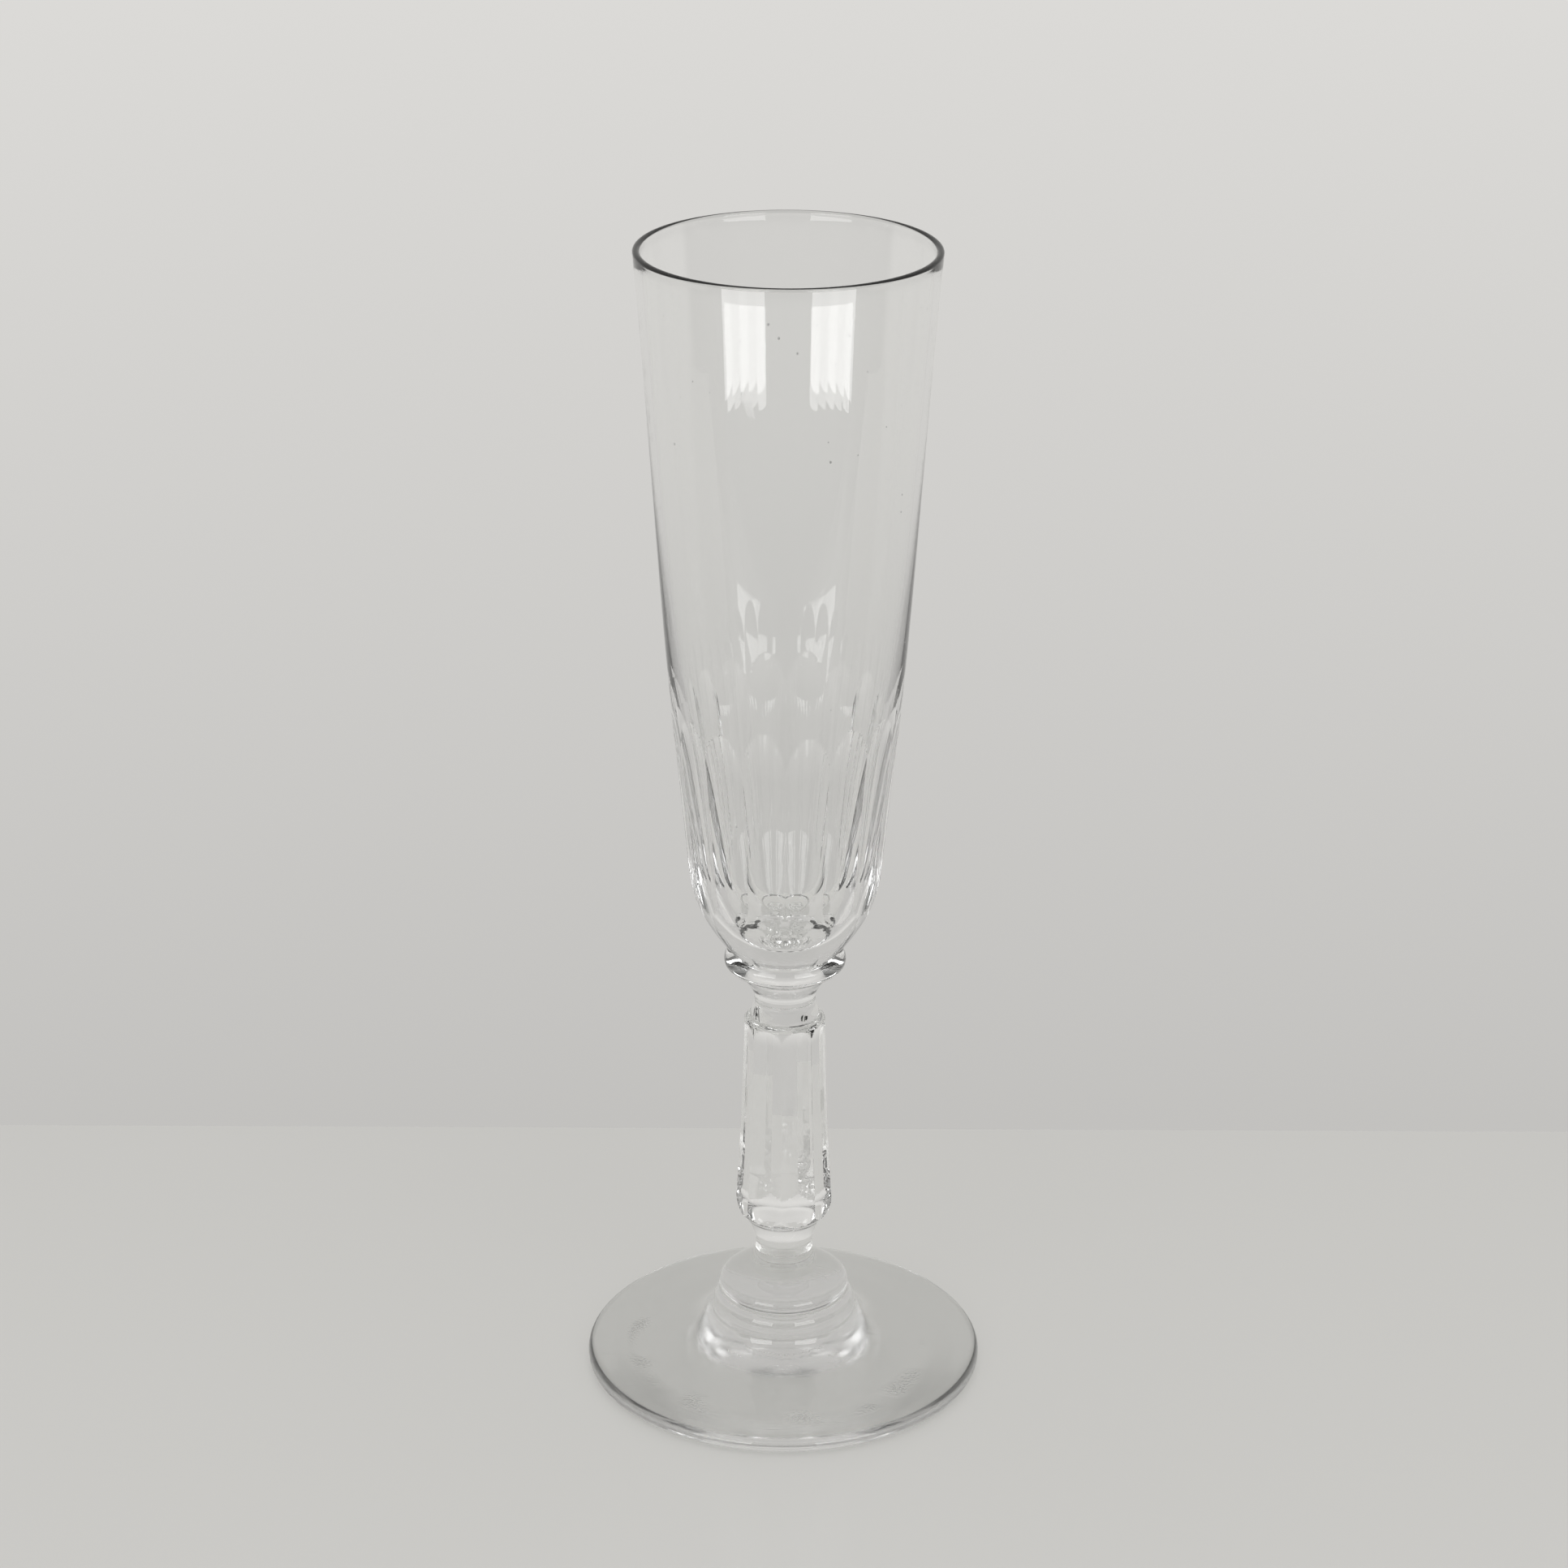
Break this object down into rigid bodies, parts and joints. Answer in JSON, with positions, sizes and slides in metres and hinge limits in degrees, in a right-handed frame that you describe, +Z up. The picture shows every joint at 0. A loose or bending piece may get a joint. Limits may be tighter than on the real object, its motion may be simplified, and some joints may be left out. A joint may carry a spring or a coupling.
{
  "type": "champagne flute",
  "caption": "Tall cut-glass flute with a fluted lower bowl, a collar, a faceted baluster stem, a stepped boss and a wide round foot.",
  "frame": {"origin": "on the flute's axis, at the level of the ring under the foot that it stands on", "axes": "+Z up the axis from foot to rim; -Y is the front, where one corner of the stem and one ridge of the bowl point"},
  "size_m": [0.067, 0.067, 0.195],
  "materials": {
    "bowl_glass": "fire-polished, with cut and polished panels",
    "stem_glass": "cut and polished facets",
    "collar_glass": "fire-polished",
    "foot_glass": "fire-polished on top, worn on the standing ring"
  },
  "bodies": {
    "root": {"foot": "foot_glass", "foot_collar": "collar_glass", "stem": "stem_glass", "bowl_collar": "collar_glass", "bowl": "bowl_glass"}
  },
  "joints": []
}
